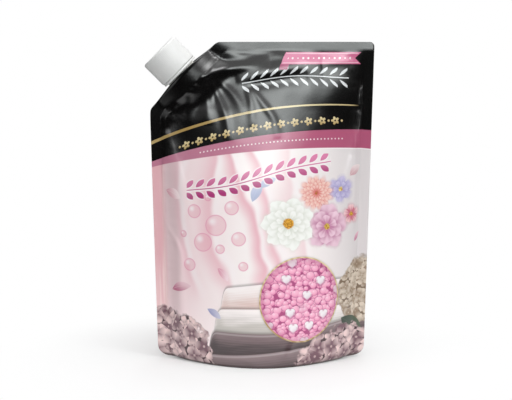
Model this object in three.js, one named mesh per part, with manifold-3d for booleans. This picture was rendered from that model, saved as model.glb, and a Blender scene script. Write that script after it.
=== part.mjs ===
import * as THREE from 'three';
import { mergeVertices } from 'three/addons/utils/BufferGeometryUtils.js';
import Module from 'manifold-3d';

// Stand-up refill pouch with a screw-capped spout welded into its cut corner.
// Millimetres, +Z up, front of the pouch towards -Y, origin on the floor under the middle of the base.

// Pouch, seen from the front
const pouchHeight = 275;
const topHalfWidth = 97;
const baseHalfWidth = 89.5;
const cornerCut = 59;
const topCornerRadius = 4;
const baseCornerRadius = 9;
const cutCornerEase = 2;
const cutTopEase = 2.5;

// Welded seams and film
const sideSeal = 8.5;
const topSeal = 7;
const cutSeal = 10;
const filmThickness = 0.6;

// Filling
const baseHalfDepth = 45;
const emptyingPower = 1.9;
const baseLens = 1;
const bellyLens = 0.8;

// Folded base
const hemHeight = 3.5;
const hemThickness = 1.2;
const cornerLift = 3;
const foldRise = 12;
const standShareX = 0.62;
const standShareY = 0.55;

// Spout fitment, along its own axis from the film's rim outwards
const fitmentHalfLength = 30;
const fitmentHeight = 8.5;
const fitmentTip = 0.4;
const spoutShift = 1.4;
const rimStandProud = 3.6;
const rimBulge = 3.3;
const rimReach = 36;
const weldRibs = 4;
const weldRibDepth = 0.8;
const boreRadius = 12.5;
const boatWall = 1.5;
const neckWall = 1.8;
const neckTop = 23;
const beadHeight = 1.3;
const beadFrom = 2.9;
const beadTaper = 1.4;
const lipChamfer = 0.6;

// Screw thread, right-handed
const threadPitch = 4;
const threadTurns = 1.5;
const threadFrom = 9.5;
const threadHeight = 1.4;
const threadRoot = 1.6;
const threadCrest = 0.8;
const threadRunOut = 0.12;

// Tamper ring, left on the neck when the cap comes off
const ringFrom = 0.4;
const ringHeight = 2;
const ringWall = 1.2;
const ringWeb = 0.7;

// Cap
const capWall = 1.5;
const capTopWall = 1.8;
const capCorner = 2.2;
const ribCount = 80;
const ribDepth = 0.45;
const rimWidth = 1.8;
const recessDepth = 0.6;
const mouthChamfer = 0.5;

// Liner, a soft disc between the neck's lip and the cap
const linerThickness = 1;

// Clearances between pieces
const gap = 0.3;
const threadGap = 0.5;

// The socket for the fitment is this many gaps longer at each pointed end.
const lensSpread = 2.2;

// Fineness
const columns = 36;
const roundSteps = 48;
const lensSteps = 12;

// Sizes that follow from the ones above
const neckRadius = boreRadius + neckWall;
const threadRadius = neckRadius + threadHeight;
const fitmentHalfWidth = boreRadius + boatWall;
const capInnerRadius = threadRadius + threadGap;
const capRootRadius = capInnerRadius + capWall;
const capRadius = capRootRadius + ribDepth;
const capThreadRadius = neckRadius + threadGap;
const linerFrom = neckTop + gap;
const capFrom = ringFrom + ringHeight + gap;
const capCeiling = linerFrom + linerThickness + gap;
const capTop = capCeiling + capTopWall;
const fitmentTop = -rimStandProud;
const fitmentBottom = fitmentTop - fitmentHeight;
const filmHalf = filmThickness / 2;
const sleeveHalf = gap + filmThickness;
const cutLineAt = -rimBulge;
const tilt = Math.PI / 4;
const cutMiddle = new THREE.Vector3(-(topHalfWidth - cornerCut / 2), 0, pouchHeight - cornerCut / 2);
const spoutAxis = new THREE.Vector3(-Math.sin(tilt), 0, Math.cos(tilt));
const cutDirection = new THREE.Vector3(Math.cos(tilt), 0, Math.sin(tilt));
const rimCentre = cutMiddle.clone()
  .addScaledVector(cutDirection, spoutShift)
  .addScaledVector(spoutAxis, rimBulge);

const wasm = await Module();
wasm.setup();

// Solids and booleans

function toSolid(geometry) {
  const bare = geometry.clone();
  bare.deleteAttribute('normal');
  bare.deleteAttribute('uv');
  const merged = mergeVertices(bare, 1e-4);
  const mesh = new wasm.Mesh({
    numProp: 3,
    vertProperties: new Float32Array(merged.attributes.position.array),
    triVerts: new Uint32Array(merged.index.array),
  });
  return new wasm.Manifold(mesh);
}

function toGeometry(solid) {
  const mesh = solid.getMesh();
  const geometry = new THREE.BufferGeometry();
  geometry.setAttribute('position', new THREE.BufferAttribute(new Float32Array(mesh.vertProperties), 3));
  geometry.setIndex(new THREE.BufferAttribute(new Uint32Array(mesh.triVerts), 1));
  geometry.computeVertexNormals();
  return geometry;
}

// A closed skin over a row of rings with the same even number of points.
// The first and last ring are closed straight across, each point to the one opposite.
function loft(rings) {
  const count = rings[0].length;
  const positions = rings.flat().flatMap((point) => [point.x, point.y, point.z]);
  const index = [];
  for (let row = 0; row + 1 < rings.length; row += 1) {
    for (let i = 0; i < count; i += 1) {
      const a = row * count + i;
      const b = row * count + (i + 1) % count;
      index.push(a, b, b + count, a, b + count, a + count);
    }
  }
  const last = (rings.length - 1) * count;
  for (let i = 0; i + 1 < count / 2; i += 1) {
    const j = count - 1 - i;
    index.push(i, j, j - 1, i, j - 1, i + 1);
    index.push(last + i, last + j - 1, last + j, last + i, last + i + 1, last + j - 1);
  }
  const geometry = new THREE.BufferGeometry();
  geometry.setAttribute('position', new THREE.Float32BufferAttribute(positions, 3));
  geometry.setIndex(facingOut(positions, index));
  return geometry;
}

function facingOut(positions, index) {
  const a = new THREE.Vector3();
  const b = new THREE.Vector3();
  const c = new THREE.Vector3();
  let volume = 0;
  for (let i = 0; i < index.length; i += 3) {
    a.fromArray(positions, 3 * index[i]);
    b.fromArray(positions, 3 * index[i + 1]);
    c.fromArray(positions, 3 * index[i + 2]);
    volume += a.dot(b.cross(c));
  }
  if (volume > 0) return index;
  const turned = [];
  for (let i = 0; i < index.length; i += 3) {
    turned.push(index[i], index[i + 2], index[i + 1]);
  }
  return turned;
}

// Profiles run bottom to top on the outside of the piece, in radius and height along the axis.
function revolve(profile) {
  const points = profile.map(([radius, height]) => new THREE.Vector2(radius, height));
  return new THREE.LatheGeometry(points, roundSteps).rotateX(Math.PI / 2);
}

function prism(shape, from, to) {
  const geometry = new THREE.ExtrudeGeometry(shape, { depth: to - from, bevelEnabled: false, steps: 1 });
  return toSolid(geometry.translate(0, 0, from));
}

// Pieces on the spout's axis are made upright and leaned over as a whole.
function leaned(geometry) {
  return geometry.rotateY(-tilt).translate(rimCentre.x, rimCentre.y, rimCentre.z);
}

// Outline of the pouch, seen from the front

function halfWidthAt(z) {
  return THREE.MathUtils.lerp(baseHalfWidth, topHalfWidth, z / pouchHeight);
}

function roundedIn(distance, radius) {
  if (distance >= radius) return 0;
  const rest = radius - distance;
  return radius - Math.sqrt(radius * radius - rest * rest);
}

function rightEdge(z) {
  const bottom = roundedIn(z, baseCornerRadius);
  const top = roundedIn(pouchHeight - z, topCornerRadius);
  return halfWidthAt(z) - bottom - top;
}

function leftEdge(z) {
  const side = -halfWidthAt(z) + roundedIn(z, baseCornerRadius);
  const cut = -(topHalfWidth - cornerCut) - (pouchHeight - z) + roundedIn(pouchHeight - z, cutTopEase);
  const apart = side - cut;
  return (side + cut + Math.sqrt(apart * apart + cutCornerEase * cutCornerEase)) / 2;
}

function leftSealAt(z) {
  const onCut = cutSeal / Math.cos(tilt);
  const cornerHeight = pouchHeight - cornerCut;
  const share = THREE.MathUtils.smoothstep(z, cornerHeight - 8, cornerHeight + 8);
  return THREE.MathUtils.lerp(sideSeal, onCut, share);
}

// Place of a point on the film's middle plane, along the cut and outwards from the rim
function onSpoutAxes(x, z) {
  const dx = x - rimCentre.x;
  const dz = z - rimCentre.z;
  return {
    along: dx * Math.cos(tilt) + dz * Math.sin(tilt),
    out: -dx * Math.sin(tilt) + dz * Math.cos(tilt),
  };
}

// Half thickness of the filled pouch

function fillDepth(x, z) {
  const share = Math.min(1, z / (pouchHeight - topSeal));
  const deep = baseHalfDepth * (1 - share ** emptyingPower);
  const left = leftEdge(z) + leftSealAt(z);
  const right = rightEdge(z) - sideSeal;
  const across = Math.min(1, Math.abs((2 * x - left - right) / (right - left)));
  const power = THREE.MathUtils.lerp(baseLens, bellyLens, THREE.MathUtils.smoothstep(share, 0, 0.35));
  return deep * (1 - across * across) ** power;
}

// The film comes off the fitment and spreads into the filling.
function throatDepth(x, z) {
  const { along, out } = onSpoutAxes(x, z);
  const inward = THREE.MathUtils.clamp((fitmentBottom - out) / (4 * fitmentHeight), 0, 1);
  const halfLength = fitmentHalfLength * (1 + 0.6 * inward);
  const across = Math.min(1, Math.abs(along) / halfLength);
  return fitmentHalfWidth * (1 - across * across) * (1 - THREE.MathUtils.smoothstep(inward, 0, 1));
}

function halfDepthAt(x, z) {
  const fill = fillDepth(x, z);
  const throat = throatDepth(x, z);
  return Math.cbrt(fill ** 3 + throat ** 3) + filmHalf;
}

// Film pouch with its filling

function columnPlaces(z) {
  const left = leftEdge(z);
  const right = rightEdge(z);
  const innerLeft = left + leftSealAt(z);
  const innerRight = right - sideSeal;
  const places = [left];
  for (let k = 0; k <= columns; k += 1) {
    const even = (2 * k) / columns - 1;
    const crowded = -Math.cos((Math.PI * k) / columns);
    const share = (even + crowded) / 2;
    places.push((innerLeft + innerRight) / 2 + (share * (innerRight - innerLeft)) / 2);
  }
  places.push(right);
  return places;
}

// The corners of the base stand a little clear of the floor.
function liftAt(x, z) {
  const outwards = THREE.MathUtils.smoothstep(Math.abs(x) / baseHalfWidth, 0.72, 1);
  return cornerLift * outwards * Math.max(0, 1 - z / (8 * cornerLift));
}

function ringAround(places, depthOf, heightOf) {
  const front = places.map((x) => new THREE.Vector3(x, -depthOf(x), heightOf(x)));
  const back = places.map((x) => new THREE.Vector3(x, depthOf(x), heightOf(x)));
  return [...front, ...back.reverse()];
}

function bodyRing(z) {
  return ringAround(columnPlaces(z), (x) => halfDepthAt(x, z), (x) => z + liftAt(x, z));
}

// Rings of the base, from the flat it stands on, over the fold and down to the hem
function baseRings() {
  const places = columnPlaces(0);
  const hemDepth = (x) => halfDepthAt(x, 0);
  const insideHem = (x) => hemDepth(x) - Math.min(hemThickness, hemDepth(x) / 2);
  const recess = (x) => hemHeight * Math.min(1, hemDepth(x) / 6);
  const shrink = (ring, shareX, shareY, heightOf) => ring.map((point) => new THREE.Vector3(
    point.x * shareX, point.y * shareY, heightOf(point.x)));
  const hem = ringAround(places, insideHem, (x) => liftAt(x, 0));
  const outwards = (x) => Math.abs(x) / baseHalfWidth;
  return [
    shrink(hem, standShareX, standShareY, () => 0),
    shrink(hem, 0.82, 0.78, (x) => hemHeight * 0.6 + foldRise * outwards(x) ** 4),
    shrink(hem, 0.995, 1, (x) => recess(x) + liftAt(x, 0)),
    shrink(hem, 0.995, 1, (x) => liftAt(x, 0)),
  ];
}

function bodyHeights() {
  const fold = baseCornerRadius;
  const cornerHeight = pouchHeight - cornerCut;
  const sealFrom = pouchHeight - topSeal;
  const low = [0, 0.12 * fold, 0.4 * fold, fold];
  const middle = evenly(fold, cornerHeight - 5, 17).slice(1);
  const high = evenly(cornerHeight, sealFrom, 10);
  const seal = [sealFrom + 0.4 * topSeal, pouchHeight - 0.5 * topCornerRadius,
    pouchHeight - 0.15 * topCornerRadius, pouchHeight];
  return [...low, ...middle, ...high, ...seal];
}

function evenly(from, to, steps) {
  return Array.from({ length: steps + 1 }, (_, k) => from + ((to - from) * k) / steps);
}

function lensShape(grown) {
  const halfLength = fitmentHalfLength + lensSpread * grown;
  const halfWidth = fitmentHalfWidth + grown;
  const ring = lensRing(halfLength, halfWidth, fitmentTip, 0);
  return new THREE.Shape(ring.map((point) => new THREE.Vector2(point.x, point.y)));
}

function lensRing(halfLength, halfWidth, tip, height) {
  const places = evenly(-halfLength, halfLength, 2 * lensSteps);
  const depthOf = (x) => (halfWidth - tip) * (1 - (x / halfLength) ** 2) + tip;
  return ringAround(places, depthOf, () => height);
}

// Upright outline of the film round the fitment, bowed out at the middle of the cut
function rimProfile() {
  const bottom = fitmentBottom - 2;
  const shape = new THREE.Shape();
  shape.moveTo(-rimReach, bottom);
  shape.lineTo(rimReach, bottom);
  shape.lineTo(rimReach, cutLineAt);
  shape.bezierCurveTo(0.6 * rimReach, cutLineAt, 0.45 * rimReach, 0, 0, 0);
  shape.bezierCurveTo(-0.45 * rimReach, 0, -0.6 * rimReach, cutLineAt, -rimReach, cutLineAt);
  return shape;
}

function filmSleeve() {
  const wrap = prism(lensShape(sleeveHalf), fitmentBottom - 2, rimBulge);
  const depth = 2 * fitmentHalfWidth;
  const settings = { depth: 2 * depth, bevelEnabled: false, curveSegments: 10 };
  const profile = new THREE.ExtrudeGeometry(rimProfile(), settings);
  profile.translate(0, 0, -depth).rotateX(Math.PI / 2);
  return wrap.intersect(toSolid(profile));
}

function pouchGeometry() {
  const body = toSolid(loft([...baseRings(), ...bodyHeights().map(bodyRing)]));
  const sleeve = toSolid(leaned(toGeometry(filmSleeve())));
  const socket = prism(lensShape(gap), fitmentBottom - gap, 2 * rimBulge);
  const pocket = toSolid(leaned(toGeometry(socket)));
  return toGeometry(body.add(sleeve).subtract(pocket));
}

// Spout

function weldBoat() {
  const rings = [];
  const step = fitmentHeight / (2 * weldRibs - 1);
  for (let k = 0; k < 2 * weldRibs - 1; k += 1) {
    const inset = k % 2 === 0 ? 0 : weldRibDepth;
    const from = fitmentBottom + k * step;
    const halfLength = fitmentHalfLength - 2 * inset;
    const halfWidth = fitmentHalfWidth - inset;
    rings.push(lensRing(halfLength, halfWidth, fitmentTip, from + 0.15 * step));
    rings.push(lensRing(halfLength, halfWidth, fitmentTip, from + 0.85 * step));
  }
  rings[0].forEach((point) => point.setZ(fitmentBottom));
  rings[rings.length - 1].forEach((point) => point.setZ(fitmentTop));
  return toSolid(loft(rings));
}

function neck() {
  const beadRadius = threadRadius - 0.1;
  return toSolid(revolve([
    [0, fitmentTop - 1],
    [neckRadius, fitmentTop - 1],
    [neckRadius, beadFrom],
    [beadRadius, beadFrom],
    [beadRadius, beadFrom + beadHeight - 0.8],
    [neckRadius, beadFrom + beadHeight - 0.8 + beadTaper],
    [neckRadius, neckTop - lipChamfer],
    [neckRadius - lipChamfer, neckTop],
    [0, neckTop],
  ]));
}

// A ridge along a right-handed helix, from a wall radius to a crest radius, fading at both ends
function threadRidge(wallRadius, crestRadius, from) {
  const steps = Math.round(threadTurns * roundSteps / 2);
  const into = Math.sign(crestRadius - wallRadius);
  const rings = [];
  for (let k = 0; k <= steps; k += 1) {
    const share = k / steps;
    const fade = Math.min(1, share / threadRunOut, (1 - share) / threadRunOut);
    const angle = share * threadTurns * 2 * Math.PI;
    const height = from + share * threadTurns * threadPitch;
    const crest = THREE.MathUtils.lerp(wallRadius + 0.2 * into, crestRadius, fade);
    const at = (radius, up) => new THREE.Vector3(
      radius * Math.cos(angle), radius * Math.sin(angle), height + up);
    const root = wallRadius - 0.5 * into;
    rings.push([
      at(root, -threadRoot / 2),
      at(crest, -threadCrest / 2),
      at(crest, threadCrest / 2),
      at(root, threadRoot / 2),
    ]);
  }
  return toSolid(loft(rings));
}

function spoutGeometry() {
  const length = 2 * (neckTop - fitmentBottom);
  const rod = new THREE.CylinderGeometry(boreRadius, boreRadius, length, roundSteps);
  const bore = toSolid(rod.rotateX(Math.PI / 2));
  const ridge = threadRidge(neckRadius, threadRadius, threadFrom);
  const solid = weldBoat().add(neck()).add(ridge).subtract(bore);
  return leaned(toGeometry(solid));
}

// Tamper ring with a web that catches under the neck's bead

function tamperRingGeometry() {
  const outer = capRootRadius - 0.1;
  const inner = neckRadius + threadGap;
  const to = ringFrom + ringHeight;
  const ring = revolve([
    [inner, ringFrom],
    [outer, ringFrom],
    [outer, to],
    [outer - ringWall, to],
    [outer - ringWall, ringFrom + ringWeb],
    [inner, ringFrom + ringWeb],
    [inner, ringFrom],
  ]);
  return leaned(toGeometry(toSolid(ring)));
}

// Cap

function ribbedRing(radius, depth, height) {
  const count = 2 * ribCount;
  return Array.from({ length: count }, (_, k) => {
    const angle = (Math.PI * (2 * k + 1)) / count;
    const reach = radius - (k % 2) * depth;
    return new THREE.Vector3(-reach * Math.cos(angle), -reach * Math.sin(angle), height);
  });
}

function capShell() {
  const shoulder = capTop - capCorner;
  const rings = [
    ribbedRing(capRootRadius + 0.1, 0.1, capFrom),
    ribbedRing(capRadius, ribDepth, capFrom + 0.5),
    ribbedRing(capRadius, ribDepth, shoulder),
  ];
  [30, 60, 90].forEach((degrees) => {
    const turn = THREE.MathUtils.degToRad(degrees);
    const radius = capRadius - capCorner * (1 - Math.cos(turn));
    const depth = ribDepth * (1 - degrees / 90) ** 0.7;
    rings.push(ribbedRing(radius, depth, shoulder + capCorner * Math.sin(turn)));
  });
  return toSolid(loft(rings));
}

function capHollow() {
  return toSolid(revolve([
    [0, capFrom - 1],
    [capInnerRadius + mouthChamfer, capFrom - 1],
    [capInnerRadius + mouthChamfer, capFrom],
    [capInnerRadius, capFrom + mouthChamfer],
    [capInnerRadius, capCeiling],
    [0, capCeiling],
  ]));
}

function capRecess() {
  const radius = capRadius - capCorner - rimWidth;
  return toSolid(revolve([
    [0, capTop - recessDepth],
    [radius - recessDepth, capTop - recessDepth],
    [radius, capTop],
    [radius, capTop + 1],
    [0, capTop + 1],
  ]));
}

function capGeometry() {
  const ridge = threadRidge(capInnerRadius, capThreadRadius, threadFrom - threadPitch / 2);
  const solid = capShell().subtract(capHollow()).subtract(capRecess()).add(ridge);
  return leaned(toGeometry(solid));
}

function capLinerGeometry() {
  const radius = capInnerRadius - gap;
  const disc = new THREE.CylinderGeometry(radius, radius, linerThickness, roundSteps);
  return leaned(disc.rotateX(Math.PI / 2).translate(0, 0, linerFrom + linerThickness / 2));
}

// Materials and assembly

function named(name, geometry, color, roughness) {
  const material = new THREE.MeshStandardMaterial({ color, roughness, metalness: 0, side: THREE.DoubleSide });
  const mesh = new THREE.Mesh(geometry, material);
  mesh.name = name;
  return mesh;
}

const pouch = new THREE.Group();
pouch.add(named('pouch', pouchGeometry(), 0xdcb4b8, 0.25));

const closure = new THREE.Group();
closure.add(named('spout', spoutGeometry(), 0xf4f3f1, 0.4));
closure.add(named('tamper_ring', tamperRingGeometry(), 0xf2f2f2, 0.45));
closure.add(named('cap_liner', capLinerGeometry(), 0xe8e6e2, 0.7));
closure.add(named('cap', capGeometry(), 0xf2f2f2, 0.45));

const refillPouch = new THREE.Group();
refillPouch.add(pouch, closure);

export default refillPouch;
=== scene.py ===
import math

import bpy
import numpy as np
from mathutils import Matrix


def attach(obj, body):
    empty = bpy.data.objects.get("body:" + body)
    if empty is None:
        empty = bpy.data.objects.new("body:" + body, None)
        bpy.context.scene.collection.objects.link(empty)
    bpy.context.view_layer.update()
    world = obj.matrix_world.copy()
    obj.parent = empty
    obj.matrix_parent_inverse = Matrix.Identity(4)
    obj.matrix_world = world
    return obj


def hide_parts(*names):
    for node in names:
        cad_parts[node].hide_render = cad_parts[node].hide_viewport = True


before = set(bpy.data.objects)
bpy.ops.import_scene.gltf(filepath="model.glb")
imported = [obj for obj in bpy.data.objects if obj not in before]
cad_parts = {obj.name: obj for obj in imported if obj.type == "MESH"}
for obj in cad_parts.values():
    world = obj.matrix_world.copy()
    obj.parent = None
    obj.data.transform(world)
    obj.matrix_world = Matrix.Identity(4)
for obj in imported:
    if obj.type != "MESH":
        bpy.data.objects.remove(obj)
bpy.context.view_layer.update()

scene = bpy.context.scene
scene.view_settings.view_transform = "Standard"
mm = 0.001


# The photo's angle: a long lens, a little above the cap. Millimetres and degrees.
camera = {
    "place": (-4.3, -1700, 374),
    "tiltDown": 7.88,
    "lens": 139.7,
    "sensor": 36,
    "clip": (0.05, 50),  # metres
}


def setCamera():
    data = bpy.data.cameras.new("photoCamera")
    data.lens = camera["lens"]
    data.sensor_width = camera["sensor"]
    data.clip_start, data.clip_end = camera["clip"]
    holder = bpy.data.objects.new("photoCamera", data)
    holder.location = [v * mm for v in camera["place"]]
    holder.rotation_euler = (math.radians(90 - camera["tiltDown"]), 0, 0)
    scene.collection.objects.link(holder)
    scene.camera = holder


setCamera()
print("camera set")


# Mesh helpers. Points are in millimetres until a piece is made.

def makePiece(name, points, faces, body, nodes):
    mesh = bpy.data.meshes.new(name)
    mesh.from_pydata((points * mm).tolist(), [], faces)
    mesh.shade_smooth()
    piece = bpy.data.objects.new(name, mesh)
    scene.collection.objects.link(piece)
    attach(piece, body)
    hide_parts(*nodes)
    return piece


# quads between neighbouring rings, which all have the same number of points
def ringFaces(rings, count, closed=False):
    faces = []
    for r in range(rings if closed else rings - 1):
        a = r * count
        b = ((r + 1) % rings) * count
        for c in range(count):
            d = (c + 1) % count
            faces.append((a + c, a + d, b + d, b + c))
    return faces


def ramp(value, low, high):
    share = np.clip((value - low) / (high - low), 0, 1)
    return share * share * (3 - 2 * share)


# Film pouch, seen from the front
pouch = {
    "height": 275,
    "topHalfWidth": 97,
    "baseHalfWidth": 89.5,
    "cornerCut": 59,
    "cutEase": 2,
    "cutTopEase": 2.5,
    "topRadius": 4,
    "baseRadius": 9,
    "sideSeal": 8.5,
    "topSeal": 7,
    "cutSeal": 10,
    "halfFilm": 0.3,
    "baseHalfDepth": 45,
    "emptying": 1.9,
    "cornerLift": 3,
    "hemHeight": 3.5,
    "hemThickness": 1.2,
    "foldRise": 12,
    "columns": 180,
    "crowding": 0.45,
    "rowStep": 1.16,
}

# Welding boat of the spout, and the film round it
boat = {
    "halfLength": 30,
    "halfWidth": 14,
    "height": 8.5,
    "below": 3.6,
    "shift": 1.4,
    "bulge": 3.3,
    "reach": 36,
    "gap": 0.35,
    "film": 0.55,
    "flareFrom": -3.1,
    "flare": 1.1,
}

lean = math.radians(45)
leanSin, leanCos = math.sin(lean), math.cos(lean)
tall = pouch["height"]
sealFrom = tall - pouch["topSeal"]
boatBottom = -boat["below"] - boat["height"]
rimCentre = (
    pouch["cornerCut"] / 2 - pouch["topHalfWidth"] + (boat["shift"] - boat["bulge"]) * leanSin,
    tall - pouch["cornerCut"] / 2 + (boat["shift"] + boat["bulge"]) * leanCos,
)


def roundedIn(distance, radius):
    rest = np.clip(radius - distance, 0, radius)
    return radius - np.sqrt(radius**2 - rest**2)


def halfWidthAt(z):
    share = z / tall
    return pouch["baseHalfWidth"] + (pouch["topHalfWidth"] - pouch["baseHalfWidth"]) * share


def rightEdge(z):
    return halfWidthAt(z) - roundedIn(z, pouch["baseRadius"]) - roundedIn(tall - z, pouch["topRadius"])


def leftEdge(z):
    side = -halfWidthAt(z) + roundedIn(z, pouch["baseRadius"])
    below = tall - z
    cut = pouch["cornerCut"] - pouch["topHalfWidth"] - below + roundedIn(below, pouch["cutTopEase"])
    return (side + cut + np.sqrt((side - cut) ** 2 + pouch["cutEase"] ** 2)) / 2


def leftSeal(z):
    onCut = pouch["cutSeal"] / leanCos
    corner = tall - pouch["cornerCut"]
    return pouch["sideSeal"] + (onCut - pouch["sideSeal"]) * ramp(z, corner - 8, corner + 8)


# along the cut, and outwards from the film's rim
def onSpoutAxes(x, z):
    dx = x - rimCentre[0]
    dz = z - rimCentre[1]
    return dx * leanCos + dz * leanSin, dz * leanCos - dx * leanSin


# half width of the boat's lens shape, grown by so much
def lensAt(along, grown):
    halfLength = boat["halfLength"] + 1.5 * grown
    share = np.clip(np.abs(along) / halfLength, 0, 1)
    return (boat["halfWidth"] + grown) * (1 - share**2)


def fillDepth(x, z):
    share = np.clip(z / sealFrom, 0, 1)
    deep = pouch["baseHalfDepth"] * (1 - share ** pouch["emptying"])
    left = leftEdge(z) + leftSeal(z)
    right = rightEdge(z) - pouch["sideSeal"]
    across = np.clip(np.abs((2 * x - left - right) / (right - left)), 0, 1)
    power = 1 - 0.2 * ramp(share, 0, 0.35)
    return deep * (1 - across**2) ** power


# the film comes off the boat and spreads into the filling
def throatDepth(x, z):
    along, out = onSpoutAxes(x, z)
    inward = np.clip((boatBottom - out) / (4 * boat["height"]), 0, 1)
    grown = boat["gap"] + boat["film"] - pouch["halfFilm"]
    halfLength = (boat["halfLength"] + 1.5 * grown) * (1 + 0.6 * inward)
    share = np.clip(np.abs(along) / halfLength, 0, 1)
    return (boat["halfWidth"] + grown) * (1 - share**2) * (1 - ramp(inward, 0, 1))


def plainDepth(x, z):
    return np.cbrt(fillDepth(x, z) ** 3 + throatDepth(x, z) ** 3)


# Folds in the film: a path in x and z, and the fold's half width and height at its middle. A
# fold with a height below zero is a valley.
frontFolds = [
    ([(-52, 244), (-36, 251), (-14, 254), (8, 257)], 4.5, 1.5),
    ([(-46, 240), (-46, 226), (-47, 206)], 4.2, 1.3),
    ([(-43, 242), (-37, 230), (-30, 212), (-27, 190)], 3.0, 1.0),
    ([(-37, 243), (-24, 231), (-14, 215)], 3.4, 0.8),
    ([(-12, 236), (-8.5, 224), (-7, 204)], 3.0, 0.7),
    ([(-8, 236), (2, 223), (11, 210), (14, 194)], 3.2, 0.8),
    ([(-21, 243), (0, 248), (25, 253), (52, 256)], 6.5, 1.5),
    ([(-10, 239), (14, 243), (40, 247)], 6, -1.2),
    ([(-62, 232), (-66, 222), (-72, 213)], 6, -1.0),
    ([(-87, 205), (-80, 214), (-72, 224)], 2.8, 0.9),
    ([(-92, 199), (-84, 205), (-77, 212)], 2.6, 0.7),
    ([(-58, 240), (-60, 226), (-64, 206)], 3.2, 0.7),
    ([(-84, 121), (-73, 104), (-68.5, 88), (-69.5, 57), (-67, 14)], 2.8, 1.2),
    ([(-79, 140), (-76, 100), (-77, 52), (-76, 12)], 3.6, -0.8),
    ([(81, 196), (81, 150), (80, 122), (76, 112)], 2.6, 1.1),
    ([(73, 80), (74.5, 64), (77, 46)], 2.6, 1.5),
    ([(82, 66), (84, 50), (82, 34)], 2.4, 1.1),
    ([(30, 28), (25, 15), (22, 3)], 2.8, 1.4),
    ([(36, 30), (38, 16), (42, 4)], 3.0, 1.2),
    ([(48, 24), (50, 12), (56, 4)], 2.8, 1.0),
    ([(30, 262), (52, 258), (76, 259)], 4.0, 0.5),
]

backFolds = [
    ([(-50, 246), (-30, 250), (-4, 252)], 4.2, 1.3),
    ([(-50, 240), (-44, 222), (-46, 200)], 3.6, 1.1),
    ([(-44, 243), (-30, 226), (-22, 204)], 3.0, 0.9),
    ([(-36, 246), (-12, 236), (16, 216)], 3.2, 0.9),
    ([(-60, 234), (-66, 218), (-76, 204)], 4.0, -1.2),
    ([(82, 190), (80, 150), (81, 104)], 2.8, 0.8),
    ([(-82, 150), (-76, 118), (-78, 70)], 3.0, 0.7),
    ([(70, 96), (68, 70), (74, 40), (72, 10)], 2.8, 0.9),
    ([(-22, 24), (-18, 12), (-16, 3)], 2.8, 0.7),
    ([(0, 258), (34, 252), (70, 256)], 5.0, 0.9),
]


def pathPoints(path, count=40):
    corners = np.array([path[0]] + list(path) + [path[-1]], float)
    made = []
    spans = len(path) - 1
    for share in np.linspace(0, spans, count):
        i = min(int(share), spans - 1)
        t = share - i
        p0, p1, p2, p3 = corners[i:i + 4]
        made.append(0.5 * (2 * p1 + (p2 - p0) * t + (2 * p0 - 5 * p1 + 4 * p2 - p3) * t * t
                           + (3 * p1 - p0 - 3 * p2 + p3) * t**3))
    return np.array(made)


def foldHeights(x, z, folds):
    total = np.zeros_like(x)
    for path, halfWidth, high in folds:
        points = pathPoints(path)
        nearest = np.full(x.shape, 1e9)
        place = np.zeros_like(x)
        steps = len(points) - 1
        for i in range(steps):
            start, end = points[i], points[i + 1]
            run = end - start
            t = ((x - start[0]) * run[0] + (z - start[1]) * run[1]) / (run @ run)
            t = np.clip(t, 0, 1)
            away = np.hypot(x - start[0] - t * run[0], z - start[1] - t * run[1])
            closer = away < nearest
            nearest = np.where(closer, away, nearest)
            place = np.where(closer, (i + t) / steps, place)
        swell = np.sin(math.pi * np.clip(place, 0, 1)) ** 0.6
        width = halfWidth * (0.6 + 0.8 * place)
        total += high * swell * np.exp(-(nearest / width) ** 2)
    return total


# Small moves of the film: ripples along the seams, puckers at the boat's weld, dents where the
# film is slack, and the bend of the whole film and of its seams. Each has its height and length.
# The other pairs say where a move sets in and where it is full.
filmMoves = {
    "ripples": ((0.34, 15), (0.2, 7)),
    "rippleReach": 7,
    "pucker": (0.8, 9),
    "puckerAt": -15.5,
    "puckerHalfWidth": 3.2,
    "puckerHalfLength": 38,
    "dents": ((0.9, 62), (0.28, 24)),
    "slackFrom": (150, 230),
    "slackLeast": 0.35,
    "bends": ((0.9, 34), (0.3, 13)),
    "bendFrom": (60, 270),
    "seamBend": (0.35, 23),
    "seamFrom": (70, 92),
    "footFrom": (14, 50),
    "topLean": 0.19,
    "besideBoat": (32, 52),
    "belowBoat": (14, 36),
}


# slow waves in a few fixed directions, between -1 and 1
def waves(x, z, length, seed, count=7):
    dice = np.random.default_rng(seed)
    total = np.zeros_like(x)
    for _ in range(count):
        turn = dice.uniform(0, math.pi)
        size = length * dice.uniform(0.7, 1.5)
        total += np.sin((x * math.cos(turn) + z * math.sin(turn)) * 2 * math.pi / size
                        + dice.uniform(0, 2 * math.pi))
    return total / count


# how far a point of the film lies inside the welded seams
def insideSeals(x, z):
    left = x - leftEdge(z) - leftSeal(z)
    right = rightEdge(z) - pouch["sideSeal"] - x
    top = sealFrom - z
    return np.minimum(np.minimum(left, right), top)


def seamRipples(x, z, seed):
    depth = np.maximum(insideSeals(x, z), 0)
    along, out = onSpoutAxes(x, z)
    side = np.exp(-depth / filmMoves["rippleReach"]) * ramp(depth, 0, 3)
    flow = sum(high * waves(x * 0.25, z, long, seed + turn)
               for turn, (high, long) in enumerate(filmMoves["ripples"]))
    weld = np.exp(-((out - filmMoves["puckerAt"]) / filmMoves["puckerHalfWidth"]) ** 2)
    weld = weld * ramp(filmMoves["puckerHalfLength"] - np.abs(along), 0, 10)
    high, long = filmMoves["pucker"]
    pucker = high * waves(along, out * 0.2, long, seed + 2)
    return side * flow * 2 + weld * pucker


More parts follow.
